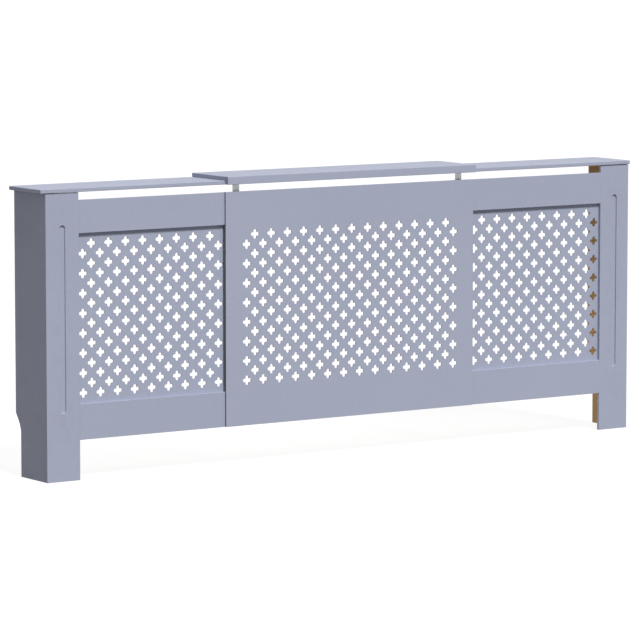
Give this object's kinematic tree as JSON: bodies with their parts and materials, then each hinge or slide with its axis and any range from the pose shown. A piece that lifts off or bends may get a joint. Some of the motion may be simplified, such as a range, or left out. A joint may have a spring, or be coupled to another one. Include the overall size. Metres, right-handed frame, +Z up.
{
  "type": "radiator cover cabinet",
  "caption": "Extendable radiator cover cabinet: a wide pierced middle panel and shelf slide over pierced end units on legs, with an air slot under the shelves.",
  "frame": {"origin": "on the floor, at the centre of the bounding box in plan", "axes": "+Z up, +X along the wall to the right as seen from the front, +Y from the pierced front towards the wall"},
  "size_m": [2.042, 0.1914, 0.8215],
  "materials": {
    "painted_board": "blue-grey satin paint on fibreboard",
    "bare_board": "bare brown fibreboard, matt",
    "zinc_steel": "zinc-plated steel"
  },
  "bodies": {
    "middle_unit": {"middle_panel": "painted_board", "middle_left_runner": "painted_board", "middle_right_runner": "painted_board", "middle_shelf": "painted_board", "middle_shelf_fascia": "painted_board"},
    "left_unit": {"left_side_panel": "painted_board", "left_outer_stile": "painted_board", "left_top_rail": "painted_board", "left_bottom_rail": "painted_board", "left_inner_stile": "painted_board", "left_grille": "painted_board", "left_shelf": "painted_board", "left_corner_batten": "bare_board", "left_shelf_cleat": "bare_board", "left_shelf_bracket": "zinc_steel", "left_wall_bracket": "zinc_steel"},
    "right_unit": {"right_side_panel": "painted_board", "right_outer_stile": "painted_board", "right_top_rail": "painted_board", "right_bottom_rail": "painted_board", "right_inner_stile": "painted_board", "right_grille": "painted_board", "right_shelf": "painted_board", "right_corner_batten": "bare_board", "right_shelf_cleat": "bare_board", "right_shelf_bracket": "zinc_steel", "right_wall_bracket": "zinc_steel"}
  },
  "joints": [
    {"name": "left_extension", "type": "slide", "parent": "middle_unit", "child": "left_unit", "axis": [1, 0, 0], "range_m": [0, 0.325]},
    {"name": "right_extension", "type": "slide", "parent": "middle_unit", "child": "right_unit", "axis": [-1, 0, 0], "range_m": [0, 0.325]}
  ]
}
